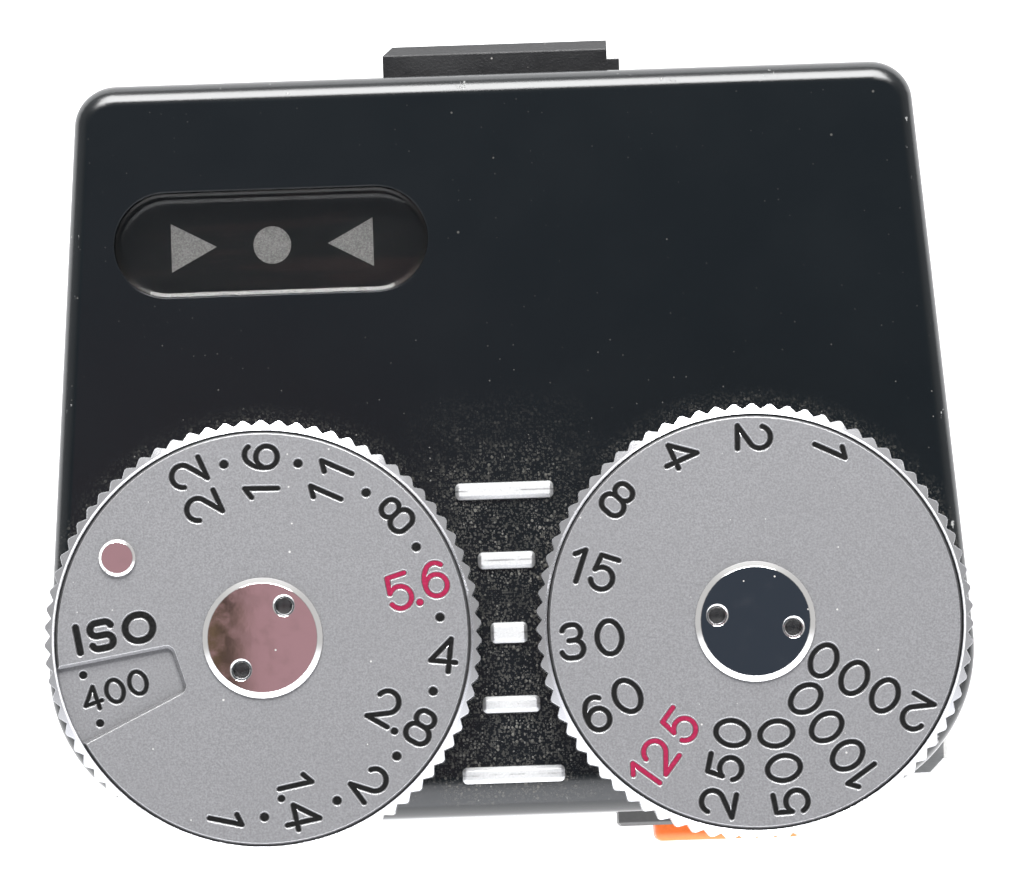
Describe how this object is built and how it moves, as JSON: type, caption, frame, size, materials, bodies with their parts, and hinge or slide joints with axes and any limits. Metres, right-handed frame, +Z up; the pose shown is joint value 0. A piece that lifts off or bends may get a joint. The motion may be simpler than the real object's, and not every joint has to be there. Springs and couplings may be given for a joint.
{
  "type": "shoe-mount exposure meter",
  "caption": "Compact shoe-mount light meter: tapered black cover, two knurled engraved dials, round-ended indicator window, front light sensor, rear button and flat foot.",
  "frame": {"origin": "centre of the whole meter in plan, on the surface that its shoe foot stands on", "axes": "+X across the two dials to the user's right, +Y towards the light sensor on the front, +Z up out of the dial faces"},
  "size_m": [0.0414, 0.0364, 0.0217],
  "materials": {
    "cover_paint": "semi-gloss black paint",
    "base_black": "matte",
    "hood_black": "matte, fine grain",
    "satin_chrome": "satin",
    "bright_chrome": "polished",
    "nut_steel": "polished",
    "ink_black": "matte",
    "ink_red": "matte",
    "window_smoke": "gloss",
    "mask_black": "gloss",
    "symbol_grey": "frosted",
    "lens_glass": "gloss",
    "button_orange": "satin",
    "bezel_grey": "satin",
    "foot_steel": "satin",
    "screw_steel": "satin",
    "brass": "satin",
    "spring_steel": "satin",
    "board_green": "gloss",
    "chip_black": "matte",
    "component_mix": "satin",
    "inner_plastic": "matte",
    "led_body": "gloss",
    "silicon": "polished",
    "cell_steel": "satin",
    "seal_rubber": "matte"
  },
  "bodies": {
    "housing": {"base_plate": "base_black", "base_screws": "screw_steel", "battery_chamber": "inner_plastic", "battery_lower": "cell_steel", "battery_top_contact": "spring_steel", "battery_upper": "cell_steel", "board_components": "component_mix", "board_screws": "screw_steel", "button_bezel": "bezel_grey", "circuit_board": "board_green", "contact_tracks": "brass", "detent_balls": "spring_steel", "detent_springs": "spring_steel", "dial_bushings": "brass", "exposure_chip": "chip_black", "foot_inserts": "brass", "foot_neck": "foot_steel", "foot_plate": "foot_steel", "foot_screws": "screw_steel", "index_bars": "bright_chrome", "indicator_leds": "led_body", "indicator_light_guide": "inner_plastic", "indicator_mask": "mask_black", "indicator_symbols": "symbol_grey", "indicator_window": "window_smoke", "photodiode": "chip_black", "photodiode_chip": "silicon", "sensor_hood": "hood_black", "sensor_lens": "lens_glass", "sensor_tube": "inner_plastic", "tact_switch": "chip_black", "top_cover": "cover_paint"},
    "aperture_ring": {"aperture_knurled_ring": "bright_chrome", "iso_disc": "satin_chrome", "iso_scale_ink": "ink_black", "aperture_shaft": "spring_steel", "aperture_cap_nut": "nut_steel", "aperture_rotor": "inner_plastic", "aperture_wiper": "brass", "aperture_circlip": "spring_steel", "iso_friction_washer": "brass"},
    "aperture_face": {"aperture_face_plate": "satin_chrome", "aperture_scale_ink": "ink_black", "aperture_red_ink": "ink_red", "iso_label_ink": "ink_black", "iso_setting_pin": "bright_chrome"},
    "shutter_dial": {"shutter_knurled_ring": "bright_chrome", "shutter_face_plate": "satin_chrome", "shutter_scale_ink": "ink_black", "shutter_red_ink": "ink_red", "shutter_shaft": "spring_steel", "shutter_cap_nut": "nut_steel", "shutter_rotor": "inner_plastic", "shutter_wiper": "brass", "shutter_circlip": "spring_steel"},
    "button": {"measure_button": "button_orange", "button_spring": "spring_steel"},
    "battery_lid": {"battery_cap": "base_black", "battery_cap_seal": "seal_rubber", "battery_cap_contact": "spring_steel"}
  },
  "joints": [
    {"name": "aperture_turn", "type": "hinge", "parent": "housing", "child": "aperture_ring", "pos_m": [-0.01086, -0.00857, 0.0198], "axis": [0, 0, 1], "range_deg": [-112.8, 103.4]},
    {"name": "iso_set", "type": "hinge", "parent": "aperture_ring", "child": "aperture_face", "pos_m": [-0.01086, -0.00857, 0.0214], "axis": [0, 0, 1], "range_deg": [-72, 96]},
    {"name": "shutter_turn", "type": "hinge", "parent": "housing", "child": "shutter_dial", "pos_m": [0.01086, -0.00857, 0.0198], "axis": [0, 0, 1], "range_deg": [-148.3, 115.7]},
    {"name": "button_press", "type": "slide", "parent": "housing", "child": "button", "axis": [0, 1, 0], "range_m": [0, 0.0005], "stiffness_N_per_m": 1200, "springref_m": -0.0003, "deforming": ["button_spring"]},
    {"name": "battery_lid_turn", "type": "hinge", "parent": "housing", "child": "battery_lid", "pos_m": [0.0113, 0.00833, 0.0046], "axis": [0, 0, 1], "range_deg": [-60, 0]}
  ]
}
